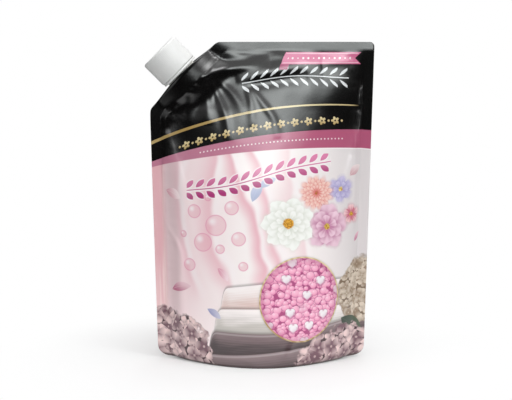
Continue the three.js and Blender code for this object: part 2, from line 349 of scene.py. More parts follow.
def filmRelief(x, z, folds, seed):
    free = ramp(insideSeals(x, z), 0, 5)
    _, out = onSpoutAxes(x, z)
    offBoat = ramp(boatBottom - out, 0, 4)
    least = filmMoves["slackLeast"]
    slack = least + (1 - least) * ramp(z, *filmMoves["slackFrom"])
    dents = sum(high * slack * waves(x, z, long, seed + 5 + turn)
                for turn, (high, long) in enumerate(filmMoves["dents"]))
    relief = foldHeights(x, z, folds) + dents
    return free * offBoat * relief + offBoat * seamRipples(x, z, seed)


# Both seams and the film between them bend a little out of plane, but not round the stiff boat.
def sway(x, z):
    along, out = onSpoutAxes(x, z)
    offBoat = np.maximum(ramp(np.abs(along), *filmMoves["besideBoat"]),
                         ramp(-out, *filmMoves["belowBoat"]))
    up = ramp(z, *filmMoves["bendFrom"])
    (slow, slowLong), (quick, quickLong) = filmMoves["bends"]
    bend = up * (slow * np.sin(x / slowLong + 0.6) + quick * np.sin(x / quickLong + z / 90))
    high, long = filmMoves["seamBend"]
    atSeams = ramp(np.abs(x), *filmMoves["seamFrom"])
    bend += high * np.sin(z / long) * atSeams * ramp(z, *filmMoves["footFrom"])
    leanBack = filmMoves["topLean"] * np.maximum(z - sealFrom, 0)
    return offBoat * (bend + leanBack)


# Columns of the mesh at a height: they crowd a little towards both seals.
def columnPlaces(z):
    left, right = leftEdge(z), rightEdge(z)
    innerLeft, innerRight = left + leftSeal(z), right - pouch["sideSeal"]
    share = np.linspace(-1, 1, pouch["columns"] + 1)
    crowded = -np.cos(np.linspace(0, math.pi, pouch["columns"] + 1))
    share = (1 - pouch["crowding"]) * share + pouch["crowding"] * crowded
    inner = (innerLeft + innerRight) / 2 + share * (innerRight - innerLeft) / 2
    leftShares = np.array([0, 0.07, 0.14, 0.19, 0.23, 0.3, 0.42, 0.6, 0.8])
    rightShares = np.array([0.8, 0.45, 0.15, 0])
    return np.concatenate([
        left + leftShares * (innerLeft - left),
        inner,
        right - rightShares * (right - innerRight),
    ])


def rowHeights():
    low = pouch["baseRadius"] * np.array([0, 0.05, 0.15, 0.32, 0.6])
    steps = int((sealFrom - pouch["baseRadius"]) / pouch["rowStep"])
    middle = np.linspace(pouch["baseRadius"], sealFrom, steps + 1)
    top = tall - np.array([5.2, 3.4, 2.2, 1.2, 0.5, 0.12, 0])
    return np.concatenate([low, middle, top])


# The film's rim along the cut is drawn outwards in a bow over the boat.
def bowAt(along):
    return np.cos(np.clip(along / boat["reach"], -1, 1) * math.pi / 2) ** 1.5


def drawnOut(x, z):
    along, out = onSpoutAxes(x, z)
    near = ramp(out, -boat["bulge"] - 9, -boat["bulge"] + 3) / 0.9
    move = np.minimum(near, 1) * boat["bulge"] * bowAt(along)
    return x - move * leanSin, z + move * leanCos


# Above the weld the free rim flares a little.
def flareAt(x, z):
    along, out = onSpoutAxes(x, z)
    share = (out - boat["flareFrom"]) / -boat["flareFrom"]
    return boat["flare"] * np.clip(share, 0, 1.2) * bowAt(along)


def cornerLift(x, z):
    outwards = ramp(np.abs(x) / pouch["baseHalfWidth"], 0.72, 1)
    return pouch["cornerLift"] * outwards * np.clip(1 - z / (8 * pouch["cornerLift"]), 0, 1)


def sheetPoints(x, z, side, folds, seed):
    depth = plainDepth(x, z) + filmRelief(x, z, folds, seed)
    moved = drawnOut(x, z)
    depth = np.maximum(depth, 0) + pouch["halfFilm"] + flareAt(*moved)
    return np.stack([moved[0], side * depth + sway(x, z), moved[1] + cornerLift(x, z)], -1)


# Place on the film as it was printed: every row is stretched to its flat width.
def flatPlaces(points, z):
    step = np.hypot(np.diff(points[..., 0], axis=-1), np.diff(points[..., 1], axis=-1))
    run = np.concatenate([np.zeros(step.shape[:-1] + (1,)), np.cumsum(step, -1)], -1)
    right = pouch["topHalfWidth"]
    left = np.maximum(-right, -(right - pouch["cornerCut"]) - (tall - z))
    return left + run / run[..., -1:] * (right - left)


# From the back rim round the cut edge to the front rim: down one wall of the pocket that the
# boat stands in, and up the other. Away from the boat the pocket closes to a fine groove.
def pocketPoints(front, back):
    rim = (front[:, 0] + back[:, 0]) / 2
    along, out = onSpoutAxes(rim[:, 0], rim[:, 2])
    high = rim[:, 2] > tall - pouch["cornerCut"] - boat["reach"] / 4
    inside = ramp(boat["halfLength"] + 1 - np.abs(along), 0, 1.5) * high
    middle = sway(rim[:, 0], rim[:, 2])
    points = []
    for side, edge in ((1, back[:, 0]), (-1, front[:, 0])):
        for level in (0, boat["flareFrom"] - 0.4, boatBottom - boat["gap"]):
            flare = boat["flare"] * bowAt(along) * (level == 0)
            drop = inside * (out - level if level else 0) + (1 - inside) * 0.02 * -level
            half = np.maximum((lensAt(along, boat["gap"]) + flare) * inside, 0.12)
            x = edge[:, 0] + drop * leanSin
            z = edge[:, 2] - drop * leanCos
            points.append(np.stack([x, middle + side * half, z], -1))
    return points[:3] + points[:2:-1]


# On the print's map the front comes first, and the back and then the base lie this far along.
sheetStep = 1000


def makePouch():
    z = rowHeights()
    x = np.array([columnPlaces(h) for h in z])
    height = np.repeat(z[:, None], x.shape[1], 1)
    front = sheetPoints(x, height, -1, frontFolds, 11)
    back = sheetPoints(x, height, 1, backFolds, 47)
    frontFlat = flatPlaces(front, height)
    backFlat = flatPlaces(back, height)
    pocket = pocketPoints(front, back)

    # rings run along the front, then back along the rear sheet and over the cut edge
    rings = np.concatenate([front, back[:, ::-1]] + [p[:, None] for p in pocket], 1)
    flatU = np.concatenate([frontFlat, backFlat[:, ::-1] + sheetStep]
                           + [frontFlat[:, :1]] * len(pocket), 1)
    flatV = np.repeat(z[:, None], rings.shape[1], 1)

    base = baseRings(rings[0])
    rings = np.concatenate([base, rings])
    baseU = np.repeat((flatU[0] % sheetStep)[None], len(base), 0) + 2 * sheetStep
    baseV = rings[:len(base), :, 1]
    flatU = np.concatenate([baseU, flatU])
    flatV = np.concatenate([baseV, flatV])

    count = rings.shape[1]
    faces = ringFaces(len(rings), count)
    last = (len(rings) - 1) * count
    columns = x.shape[1]
    for i in range(columns - 1):
        j = 2 * columns - 1 - i
        faces.append((j - 1, j, i, i + 1)[::-1])
        faces.append((last + i, last + i + 1, last + j - 1, last + j))
    ends = [0] + list(range(2 * columns - 1, count))
    faces.append(tuple(ends[::-1]))
    faces.append(tuple(last + i for i in ends))

    piece = makePiece("film_pouch", rings.reshape(-1, 3), faces, "root", ["pouch"])
    addFilmMap(piece, flatU.ravel(), flatV.ravel())
    return piece


# Underside: a flat to stand on, the fold rising to both ends, and the hem round it
def baseRings(hemOuter):
    lift = cornerLift(hemOuter[:, 0], 0 * hemOuter[:, 0])
    depth = np.abs(hemOuter[:, 1])
    hem = hemOuter.copy()
    hem[:, 1] -= np.sign(hem[:, 1]) * np.minimum(pouch["hemThickness"], depth / 2)
    recess = pouch["hemHeight"] * np.minimum(1, depth / 6)
    outwards = np.abs(hem[:, 0]) / pouch["baseHalfWidth"]

    def shrunk(shareX, shareY, height):
        ring = hem.copy()
        ring[:, 0] *= shareX
        ring[:, 1] *= shareY
        ring[:, 2] = height
        return ring

    fold = pouch["hemHeight"] + pouch["foldRise"] * outwards**4
    return np.array([
        shrunk(0.5, 0.4, 0 * depth),
        shrunk(0.62, 0.55, 0 * depth),
        shrunk(0.72, 0.66, 0.25 * fold),
        shrunk(0.82, 0.78, 0.7 * fold),
        shrunk(0.92, 0.9, 0.5 * fold + 0.5 * recess),
        shrunk(0.995, 1, recess + lift),
        shrunk(0.995, 1, 0.4 * recess + lift),
        shrunk(0.995, 1, lift),
    ])


# where each face's corners start, and how many it has
def faceLoops(mesh):
    made = []
    for key in ("loop_start", "loop_total"):
        made.append(np.zeros(len(mesh.polygons), int))
        mesh.polygons.foreach_get(key, made[-1])
    return made


# The print's map is in metres on the flat film. A face across a seam takes the print of the
# sheet that it starts on.
def addFilmMap(piece, u, v):
    mesh = piece.data
    corners = np.zeros(len(mesh.loops), int)
    mesh.loops.foreach_get("vertex_index", corners)
    starts, totals = faceLoops(mesh)
    along, up = u[corners], v[corners]
    least = np.repeat(np.minimum.reduceat(along, starts), totals)
    along = along - sheetStep * np.round((along - least) / sheetStep)
    film = mesh.uv_layers.new(name="film")
    film.uv.foreach_set("vector", np.stack([along, up], 1).ravel() * mm)

    # a second map without overlaps: front and back side by side, the base above the front
    sheet = np.round(along / sheetStep)
    half, deep = pouch["topHalfWidth"], pouch["baseHalfDepth"]
    across = 0.005 + 0.48 * (along - sheetStep * sheet + half) / (2 * half)
    bakeU = np.where(sheet == 1, across + 0.5, across)
    bakeV = np.where(sheet == 2, 0.93 + up / deep * 0.06, 0.005 + 0.85 * up / tall)
    bake = mesh.uv_layers.new(name="OFBake")
    bake.uv.foreach_set("vector", np.clip(np.stack([bakeU, bakeV], 1), 0, 1).ravel())


filmPouch = makePouch()
print("pouch made:", len(filmPouch.data.polygons), "faces")


# Points of the spout's pieces are made upright and leaned over as a whole.
def leaned(points):
    x, y, z = points[..., 0], points[..., 1], points[..., 2]
    return np.stack([x * leanCos - z * leanSin + rimCentre[0], y,
                     x * leanSin + z * leanCos + rimCentre[1]], -1)


def turnedRings(profile, steps, shaped=None):
    angles = np.linspace(0, 2 * math.pi, steps, endpoint=False)
    radius = np.repeat(np.array(profile)[:, :1], steps, 1)
    height = np.repeat(np.array(profile)[:, 1:], steps, 1)
    if shaped:
        radius = shaped(radius, height, np.repeat(angles[None], len(profile), 0))
    return np.stack([radius * np.cos(angles), radius * np.sin(angles), height], -1)


def arc(centre, radius, start, end, steps):
    turns = np.radians(np.linspace(start, end, steps + 1))
    return [(centre[0] + radius * math.cos(t), centre[1] + radius * math.sin(t)) for t in turns]


def climb(radius, low, high, step):
    count = max(1, round((high - low) / step))
    return [(radius, h) for h in np.linspace(low, high, count + 1)]


# Thread of the neck and the cap. Crest and root are half widths, and the run-out at each end is
# a share of its length.
thread = {
    "pitch": 4,
    "turns": 1.5,
    "height": 1.35,
    "root": 0.85,
    "crest": 0.35,
    "runOut": 0.12,
    "neckStart": 9.5,
    "capStart": 7.5,
}


# how high a right-handed thread stands on a wall, from 0 to 1
def threadHeightAt(height, angle, start):
    risen = np.zeros_like(height)
    for lap in range(2):
        turns = angle / (2 * math.pi) + lap
        share = turns / thread["turns"]
        runOut = np.clip(np.minimum(share, 1 - share) / thread["runOut"], 0, 1)
        away = np.abs(height - start - turns * thread["pitch"])
        risen = np.maximum(risen, runOut * (1 - ramp(away, thread["crest"], thread["root"])))
    return risen


# Heights and radii along the spout's axis, from the film's rim outwards
cap = {
    "foot": 2.7,
    "top": 26.4,
    "radius": 18.15,
    "inside": 16.2,
    "ceiling": 24.6,
    "corner": 2.2,
    "ribs": 80,
    "ribDepth": 0.09,
    "rimWidth": 1.8,
    "recess": 0.6,
    "stepsPerRib": 6,
}


def makeCap():
    foot, top, wall, inside, ceiling = (cap[k] for k in ("foot", "top", "radius", "inside", "ceiling"))
    shoulder = top - cap["corner"]
    flat = wall - cap["corner"]
    dish = flat - cap["rimWidth"]
    floor = top - cap["recess"]
    side = climb(wall, foot + 0.5, shoulder - 0.6, 2.1)[::-1]
    profile = [(0.4, floor), (5, floor), (10, floor), (dish - 1.1, floor), (dish - 0.6, floor + 0.06)]
    profile += [(dish - 0.15, top - 0.08), (dish + 0.2, top), (flat - 0.5, top)]
    profile += arc((flat, shoulder), cap["corner"], 90, 0, 10) + side
    profile += [(wall - 0.12, foot + 0.15), (wall - 0.45, foot)]
    outerRings = len(profile)
    profile += [(inside + 0.5, foot), (inside + 0.12, foot + 0.18)]
    profile += climb(inside, foot + 0.5, 6, 1) + climb(inside, 6.3, 15, 0.25)
    profile += climb(inside, 16, ceiling - 0.3, 2)
    profile += [(inside - 0.3, ceiling), (8, ceiling), (0.4, ceiling)]

    def ribbed(radius, height, angle):
        outside = (np.arange(len(radius)) < outerRings)[:, None]
        wave = 0.5 + 0.5 * np.cos(angle * cap["ribs"])
        onWall = ramp(radius, flat + 0.9, wall - 0.05) * outside
        fade = 1 - ramp(height, shoulder + 0.3, shoulder + 1.6)
        thin = cap["ribDepth"] * (1 - wave) * onWall * fade
        inward = thread["height"] * threadHeightAt(height, angle, thread["capStart"])
        onThread = (np.abs(radius - inside) < 1e-6) & ~outside
        return radius - thin - inward * onThread

    steps = cap["ribs"] * cap["stepsPerRib"]
    rings = turnedRings(profile, steps, ribbed)
    faces = [face[::-1] for face in ringFaces(len(rings), steps)]
    last = (len(rings) - 1) * steps
    faces.append(tuple(range(steps)))
    faces.append(tuple(range(last, last + steps))[::-1])
    points = leaned(rings).reshape(-1, 3)
    return makePiece("cap_body", points, faces, "cap", ["cap"])


# Band left on the neck under the cap, and the small bridges that join the two
band = {
    "low": 0.4,
    "high": 2.4,
    "outer": 17.6,
    "wall": 1.2,
    "web": 0.7,
    "hole": 14.8,
    "bridges": 12,
    "bridgeHeight": 0.2,
    "steps": 288,
}


def makeBand():
    low, high, outer, hole = (band[k] for k in ("low", "high", "outer", "hole"))
    inner = outer - band["wall"]
    web = low + band["web"]
    profile = [(outer - 0.2, low), (outer, low + 0.2), (outer, high - 0.2), (outer - 0.15, high)]
    profile += [(inner + 0.15, high), (inner, high - 0.15), (inner, web)]
    profile += [(hole + 0.1, web), (hole, web - 0.1), (hole, low)]
    rings = turnedRings(profile, band["steps"])
    angle = np.linspace(0, 2 * math.pi, band["steps"], endpoint=False)
    bridge = ramp(np.cos(angle * band["bridges"]), 0.93, 0.97)
    # both points of the band's top edge rise into the bridges
    rings[3:5, :, 2] += band["bridgeHeight"] * bridge
    points = leaned(rings).reshape(-1, 3)
    faces = ringFaces(len(rings), band["steps"], closed=True)
    return makePiece("tamper_band", points, faces, "root", ["tamper_ring"])


# Neck with its bead and thread, on a welding boat with ribs
neck = {
    "bore": 12.5,
    "radius": 14.3,
    "top": 23,
    "lip": 0.6,
    "beadRadius": 15.6,
    "beadFoot": 2.9,
    "weldRibs": 4,
    "weldRibDepth": 0.8,
    "tip": 0.4,
    "steps": 240,
}


def lensOutline(halfLength, halfWidth, height):
    turn = np.linspace(0, 2 * math.pi, neck["steps"], endpoint=False)
    side = np.sin(turn)
    width = (halfWidth - neck["tip"]) * side * np.abs(side) + neck["tip"] * np.clip(side * 6, -1, 1)
    return np.stack([halfLength * np.cos(turn), width, np.full_like(turn, height)], -1)


def makeNeck():
    step = boat["height"] / (2 * neck["weldRibs"] - 1)
    outlines = []
    for k in range(2 * neck["weldRibs"] - 1):
        inset = neck["weldRibDepth"] * (k % 2)
        low = boatBottom + k * step
        for share in (0, 0.12, 0.88, 1):
            soft = 0.12 if share in (0, 1) and not k % 2 else 0
            outlines.append(lensOutline(boat["halfLength"] - 2 * inset - 2 * soft,
                                        boat["halfWidth"] - inset - soft, low + share * step))
    wall, foot, bead = neck["radius"], neck["beadFoot"], neck["beadRadius"]
    top, lip, bore = neck["top"], neck["lip"], neck["bore"]
    profile = [(wall, -boat["below"]), (wall, 0.4), (wall, foot), (bead - 0.1, foot)]
    profile += [(bead, foot + 0.12), (bead, foot + 0.4), (bead - 0.3, foot + 0.75), (wall, foot + 1.9)]
    profile += climb(wall, 6, 8.4, 1.2) + climb(wall, 8.6, 16.6, 0.2) + climb(wall, 17.6, top - lip, 1.2)
    profile += arc((wall - lip, top - lip), lip, 15, 90, 4)
    profile += arc((bore + 0.3, top - 0.3), 0.3, 90, 180, 3)
    profile += climb(bore, boatBottom + 0.4, top - 1.5, 3)[::-1]
    profile += [(bore + 0.3, boatBottom)]

    def threaded(radius, height, angle):
        onWall = np.abs(radius - wall) < 1e-6
        return radius + onWall * thread["height"] * threadHeightAt(height, angle, thread["neckStart"])

    upper = turnedRings(profile, neck["steps"], threaded)
    rings = np.concatenate([np.array(outlines), upper])
    points = leaned(rings).reshape(-1, 3)
    faces = ringFaces(len(rings), neck["steps"], closed=True)
    return makePiece("spout_neck", points, faces, "root", ["spout"])


capBody = makeCap()
tamperBand = makeBand()
spoutNeck = makeNeck()
print("cap, band and neck made")


# Printed colours of the film and of the beads in its window, with a painted shade, painted
# highlight streaks and a painted shadow line among them. All colours with three parts are
# written as they look on screen, from 0 to 255; those with four are shares of white.
inks = {
    "black": (6, 5, 5),
    "goldLight": (232, 216, 170),
    "goldDark": (176, 146, 88),
    "rose": (182, 92, 124),
    "roseLeft": (196, 128, 152),
    "silver": (226, 229, 231),
    "ribbon": (214, 112, 150),
    "ribbonDark": (168, 72, 112),
    "blush": (250, 223, 227),
    "milk": (254, 246, 245),
    "pearl": (228, 221, 222),
    "petal": (236, 176, 190),
    "seam": (232, 176, 184),
    # painted highlight, for light streaks down the left seam
    "seamHighlight": (250, 222, 220),
    # painted shade, for a soft grey band down the left of the panel
    "dusk": (200, 174, 178),
    "magenta": (176, 62, 122),
    "orchid": (228, 138, 178),
    "snow": (255, 246, 248),
    "cream": (226, 200, 194),
    "linen": (200, 194, 188),
    "mauve": (134, 114, 117),
    "plum": (66, 53, 55),
    # printed fold lines between the drapes, and the painted shadow line along the hem
    "foldLineAndHemShadow": (58, 42, 42),
    "beadGap": (182, 88, 134),
    "beadLow": (234, 138, 180),
    "bead": (254, 196, 219),
    "beadLight": (255, 232, 241),
    "heart": (250, 242, 246),
    "heartShade": (222, 196, 210),
}


# a named colour, or one with three parts, as the shaders want it
def shaderColour(colour):
    colour = inks.get(colour, colour)
    if len(colour) == 4:
        return colour
    shares = [c / 255 for c in colour]
    return tuple(c / 12.92 if c <= 0.04045 else ((c + 0.055) / 1.055) ** 2.4 for c in shares) + (1,)


# fields are linked to a node's inputs, plain numbers and colours are set there
def feed(node, inputs):
    for key, value in inputs.items():
        socket = node.inputs[key]
        if isinstance(value, Field):
            node.id_data.links.new(value.socket, socket)
        else:
            socket.default_value = shaderColour(value) if socket.type == "RGBA" else value


# a method that makes a Math node
def mathNode(operation):
    return lambda self, *others: self.calc(operation, *others)


# A number, colour or place that varies over a surface, so that patterns can be written as sums
class Field:
    def __init__(self, socket):
        self.socket = socket

    def node(self, kind, inputs, **settings):
        node = self.socket.id_data.nodes.new("ShaderNode" + kind)
        for name, value in settings.items():
            setattr(node, name, value)
        feed(node, inputs)
        return node

    def calc(self, operation, *others):
        return Field(self.node("Math", dict(enumerate((self, *others))), operation=operation).outputs[0])

    def vector(self, operation, *others, output=0):
        node = self.node("VectorMath", dict(enumerate((self, *others))), operation=operation)
        return Field(node.outputs[output])

    __add__ = __radd__ = mathNode("ADD")
    __sub__ = mathNode("SUBTRACT")
    __mul__ = __rmul__ = mathNode("MULTIPLY")
    __truediv__ = mathNode("DIVIDE")
    __pow__ = mathNode("POWER")
    __abs__ = mathNode("ABSOLUTE")
    sin = mathNode("SINE")
    least = mathNode("MINIMUM")
    most = mathNode("MAXIMUM")
    # times a factor, plus something
    scaled = mathNode("MULTIPLY_ADD")

    def __rsub__(self, other):
        return self.scaled(-1, other)

    # how far through the present repeat of a pattern, from -half to half of its pitch
    def repeated(self, pitch):
        return (self / pitch).calc("FRACT").scaled(pitch, -pitch / 2)

    # 0 up to low and full from high on, smooth between; or the other way round where low is larger
    def rise(self, low, high, full=1.0):
        inputs = {"Value": self, "From Min": low, "From Max": high, "To Max": full}
        return Field(self.node("MapRange", inputs, interpolation_type="SMOOTHSTEP").outputs["Result"])

    # the inside of a shape, where its distance is below zero
    def inside(self, edge=0.2):
        return self.rise(edge, -edge)

    # self as a colour, with another colour laid over it
    def over(self, share, colour):
        return blend(share, self, colour)

    def parts(self, kind="SeparateXYZ"):
        return [Field(socket) for socket in self.node(kind, {0: self}).outputs]


def blend(share, first, second):
    node = share.node("Mix", {"Factor": share, 6: first, 7: second}, data_type="RGBA")
    return Field(node.outputs[2])


def lengthOf(x, z):
    joined = Field(x.node("CombineXYZ", {0: x, 1: z}).outputs[0])
    return joined.vector("LENGTH", output="Value")


# A point of the flat film, in millimetres
class Spot:
    def __init__(self, place):
        self.place = place
        self.x, self.z = place.parts()[:2]

    def away(self, x, z):
        return self.place.vector("DISTANCE", (x, z, 0), output="Value")

    # soft noise with patches of about this size, drawn out where stretch is below 1
    def cloud(self, size, detail, seed, stretch=(1, 1)):
        moved = self.place.vector("MULTIPLY_ADD", (*stretch, 1), (0, 0, seed))
        inputs = {"Vector": moved, "Scale": 1 / size, "Detail": detail}
        return Field(self.place.node("TexNoise", inputs, noise_dimensions="3D").outputs["Fac"])

    # Scattered cells: the way from the nearest middle, in cells, and two random numbers for each
    def cells(self, size, seed, spread=1.0):
        scaled = self.place.vector("MULTIPLY_ADD", (1 / size, 1 / size, 0), (seed, 0, 0))
        inputs = {"Vector": scaled, "Scale": 1, "Randomness": spread}
        node = self.place.node("TexVoronoi", inputs, voronoi_dimensions="2D")
        away = scaled.vector("SUBTRACT", Field(node.outputs["Position"]))
        picks = Field(node.outputs["Color"]).parts("SeparateColor")
        return (*away.parts()[:2], picks[0], picks[1])

    # along and across a line through (x, z) that leans by so many degrees
    def turned(self, degrees, x, z):
        c, s = math.cos(math.radians(degrees)), math.sin(math.radians(degrees))
        along = self.x.scaled(c, self.z.scaled(s, -x * c - z * s))
        across = self.x.scaled(-s, self.z.scaled(c, x * s - z * c))
        return along, across


# White studio floor: it keeps the pouch's shadow and runs out into the white background. For
# whatever mirrors it, it fades to the dim low part of the room.
studio = {
    "floorSize": 740,
    "floorWhite": 0.81,
    "shadowReach": (105, 230),
    "shadowDepth": 0.8,
    "paperReach": (150, 370),
    "roomLow": 0.025,
    "roomHigh": 1.0,
    "roomRise": (0.1, 0.8),
}


# the node tree of a new material or world, emptied
def clearTree(holder):
    holder.use_nodes = True
    holder.node_tree.nodes.clear()
    return holder.node_tree


def fieldFrom(tree, kind, output):
    return Field(tree.nodes.new("ShaderNode" + kind).outputs[output])


# 1 where the camera or a ray through glass looks straight at something
def straightSight(tree):
    return fieldFrom(tree, "LightPath", "Is Camera Ray").most(
        fieldFrom(tree, "LightPath", "Is Transmission Ray"))


def mixShaders(share, first, second, out):
    mix = share.node("MixShader", {0: share, 1: Field(first.outputs[0]), 2: Field(second.outputs[0])})
    feed(out, {"Surface": Field(mix.outputs[0])})


def grey(level):
    return (level, level, level, 1)


def makeFloor():
    half = studio["floorSize"] / 2 * mm
    mesh = bpy.data.meshes.new("floor")
    mesh.from_pydata([(-half, -half, 0), (half, -half, 0), (half, half, 0), (-half, half, 0)],
                     [], [(0, 1, 2, 3)])
    floor = bpy.data.objects.new("floor", mesh)
    scene.collection.objects.link(floor)
    material = bpy.data.materials.new("floorPaper")
    tree = clearTree(material)
    reach = fieldFrom(tree, "TexCoord", "Object").vector("LENGTH", output="Value") * (1 / mm)
    fade = reach.rise(*studio["shadowReach"], studio["shadowDepth"]) + (1 - studio["shadowDepth"])
    mirrored = fieldFrom(tree, "LightPath", "Is Glossy Ray")
    shade = blend(reach.rise(*studio["paperReach"]) * mirrored,
                  grey(studio["floorWhite"]), grey(studio["roomLow"]))
    paper = shade.node("BsdfDiffuse", {"Color": shade})
    glow = shade.node("Emission", {"Color": grey(1)})
    out = tree.nodes.new("ShaderNodeOutputMaterial")
    mixShaders(fade * straightSight(tree), paper, glow, out)
    mesh.materials.append(material)


makeFloor()


# Softboxes that the glossy film and the cap mirror, each brightest in its middle: where it stands
# round the pouch (degrees from the front towards the right), how high, how far away in metres,
# its size and its power
softboxes = {
    "keyBox": {"around": 42, "up": 50, "away": 1.5, "size": (0.9, 0.9), "power": 18},
    "frontBox": {"around": 3, "up": 28, "away": 1.7, "size": (1.5, 1.0), "power": 28},
    "topBox": {"around": 0, "up": 86, "away": 1.4, "size": (1.4, 1.1), "power": 10},
    "backBox": {"around": 168, "up": 34, "away": 1.9, "size": (1.3, 0.8), "power": 12},
    "rightStrip": {"around": 62, "up": 12, "away": 1.5, "size": (0.16, 1.0), "power": 6},
    "leftStrip": {"around": -57, "up": 12, "away": 1.5, "size": (0.16, 1.0), "power": 4},
}
softboxes["frontBox"]["color"] = (0.95, 1, 0.99)  # slightly cool; the others are white
aim = np.array([0, 0, 0.13])


# The room is dim near the floor and bright overhead; whoever looks past the pouch sees white.
def makeRoom():
    scene.world = bpy.data.worlds.new("room")
    tree = clearTree(scene.world)
    height = fieldFrom(tree, "TexCoord", "Generated").parts()[2]
    glow = height.rise(*studio["roomRise"], studio["roomHigh"] - studio["roomLow"]) + studio["roomLow"]
    soft = glow.node("Background", {"Color": grey(1), "Strength": glow})
    white = glow.node("Background", {"Color": grey(1)})
    mixShaders(straightSight(tree), soft, white, tree.nodes.new("ShaderNodeOutputWorld"))


def makeSoftbox(name, box):
    data = bpy.data.lights.new(name, "AREA")
    data.shape = "RECTANGLE"
    data.size, data.size_y = box["size"]
    data.energy = box["power"]
    data.color = box.get("color", (1, 1, 1))
    data.use_nodes = True
    spread = fieldFrom(data.node_tree, "NewGeometry", "Parametric")
    fromMiddle = spread.vector("DISTANCE", (0.5, 0.5, 0), output="Value")
    feed(data.node_tree.nodes["Emission"], {"Strength": fromMiddle.rise(0.5, 0.05)})
    lamp = bpy.data.objects.new(name, data)
    around, up = math.radians(box["around"]), math.radians(box["up"])
    back = np.array([math.sin(around) * math.cos(up), -math.cos(around) * math.cos(up), math.sin(up)])
    lamp.location = (aim + back * box["away"]).tolist()
    lamp.rotation_euler = (math.radians(90) - up, 0, around)
    lamp.visible_camera = False
    scene.collection.objects.link(lamp)


makeRoom()
for name, box in softboxes.items():
    makeSoftbox(name, box)
print("studio set")


# Heights of the printed borders over the width: at the middle, and how they rise and bend. The
# rose band has white dots, and a row of gold florets and pearls hangs below the gold line.
borders = {
    "gold": (217.67, 15.36, -13.31),
    "yoke": (196.7, 13.3, -10.6),
    "panel": (184.0, 7.8, -8.4),
}
bandDots = {"pitch": 3.1, "radius": 0.62, "ends": (-52, 72)}
goldRow = {"pitch": 11.6, "below": 13.5, "half": 71.2, "petal": 1.9, "eye": 0.75, "pearl": 0.95}
halfPrint = 95


# 1 from low to high, with soft ends
def between(x, low, high, soft):
    half = (high - low) / 2
    return abs(x - (low + high) / 2).rise(half + soft, half - soft)


def borderAt(at, name):
    middle, slope, bend = borders[name]
    share = at.x / halfPrint
    return share * share.scaled(bend, slope) + middle


# Satin that hangs in soft folds: pale pink on the left, white in the middle, pearl on the right.
# A fold: where it stands half way up, how it leans, how far, how long and from which turn it
# swings, its hollow's width, and how dark that is.
satin = {
    "middle": 130,
    "folds": [
        (-64, 0.10, 4, 31, 0.4, 9, 0.5),
        (-34, 0.22, 6, 37, 2.0, 13, 0.75),
        (-12, 0.30, 7, 29, 3.4, 10, 1.0),
        (3, 0.16, 5, 41, 5.1, 8, 0.9),
        (34, 0.24, 6, 33, 0.9, 14, 0.4),
    ],
    "blushTo": (-70, 10),
    "pearlFrom": (35, 105),
    "foldsFrom": (48, 84),
    "wander": 22,
    # where the painted shade down the left of the panel lies
    "paintedLeftShadeAt": -77,
    "seamAt": (-83, -90),
}


def laySatin(at):
    drift = at.x + at.cloud(60, 1, 3) * 30
    ground = blend(drift.rise(*satin["blushTo"]), "blush", "milk")
    ground = ground.over(drift.rise(*satin["pearlFrom"]), "pearl")
    reach = at.z.rise(*satin["foldsFrom"])
    wander = at.cloud(40, 1, 9)
    for place, slope, swing, long, start, wide, deep in satin["folds"]:
        line = (at.z / long + start).sin() * swing
        line = line.scaled(1, at.z.scaled(-slope, place + satin["middle"] * slope))
        off = at.x - line + wander * satin["wander"] - satin["wander"] / 2
        hollow = off.rise(-wide * 1.5, 0) * off.rise(2.6, -2.2, deep * 0.9) * reach
        ground = ground.over(hollow, "petal")
        ground = ground.over(abs(off - 3).rise(6, 0, 0.5) * reach, "snow")
    # painted shade: a soft grey band down the left of the panel
    ground = ground.over(abs(at.x - satin["paintedLeftShadeAt"]).rise(13, 2, 0.45), "dusk")
    # painted highlights: light streaks down the pink left seam
    seamHighlightStreaks = at.cloud(5, 3, 17, (1, 0.04)).rise(0.38, 0.62)
    return ground.over(at.x.rise(*satin["seamAt"], 0.85), blend(seamHighlightStreaks, "seam", "seamHighlight"))


# Broad lengths of cloth laid over each other at the foot of the panel, from the top one down.
# Each falls away towards the left, round its own end. A length: its top, how high, how long and
# from which turn it waves, where it ends, how deep it shades, and its light and dark ink.
drapes = [
    (70, 2.5, 27, 0.9, -35, 21, "milk", "cream"),
    (49, 2.5, 31, 2.3, -40, 19, "milk", "linen"),
    (31, 2, 24, 4.0, -45, 17, "mauve", "plum"),
    (14, 2, 30, 5.6, -49, 20, "mauve", "plum"),
]


def layDrapes(paint, at):
    for top, lift, long, start, end, depth, light, dark in drapes:
        wave = (at.x / long + start).sin()
        fall = at.x.rise(end + 12, end - 5)
        crest = wave.scaled(lift, at.x.scaled(0.05, top)) - fall ** 3 * (top + 12)
        below = crest - at.z
        weave = at.cloud(7, 3, top, (0.25, 1.6)) + (below * 3).sin() * 0.07
        shade = weave.scaled(0.7, fall.scaled(0.9, below / depth - 0.3))
        cloth = blend(shade.rise(0.1, 1.05), light, dark)
        cloth = cloth.over(abs(below - 1.6).rise(1.6, 0, 0.2), "milk")
        paint = paint.over(below.rise(-3.2, 0, 0.5), "foldLineAndHemShadow")
        paint = paint.over(below.rise(-0.3, 0.3), cloth)
    return paint


# A field of small four-petalled florets, two layers deep
def layFlorets(paint, at, share, size, light, dark, deep, seed):
    paint = paint.over(share, deep)
    ragged = at.cloud(size * 0.3, 1, seed)
    for layer in range(2):
        awayX, awayZ, pick, turn = at.cells(size * (1 + 0.25 * layer), seed + 3.7 * layer)
        reach = lengthOf(awayX, awayZ)
        angle = turn.scaled(12.6, awayZ.calc("ARCTAN2", awayX) * 2)
        lobes = abs(angle.sin())
        edge = reach - lobes.scaled(0.34, ragged.scaled(-0.16, 0.4))
        tint = lobes.scaled(0.35, reach.scaled(1.4, pick.scaled(0.95, -0.72))).most(0).least(1)
        paint = paint.over(edge.inside(0.05) * share, blend(tint, dark, light))
        paint = paint.over(reach.rise(0.11, 0.04, 0.6) * share, light)
    return paint


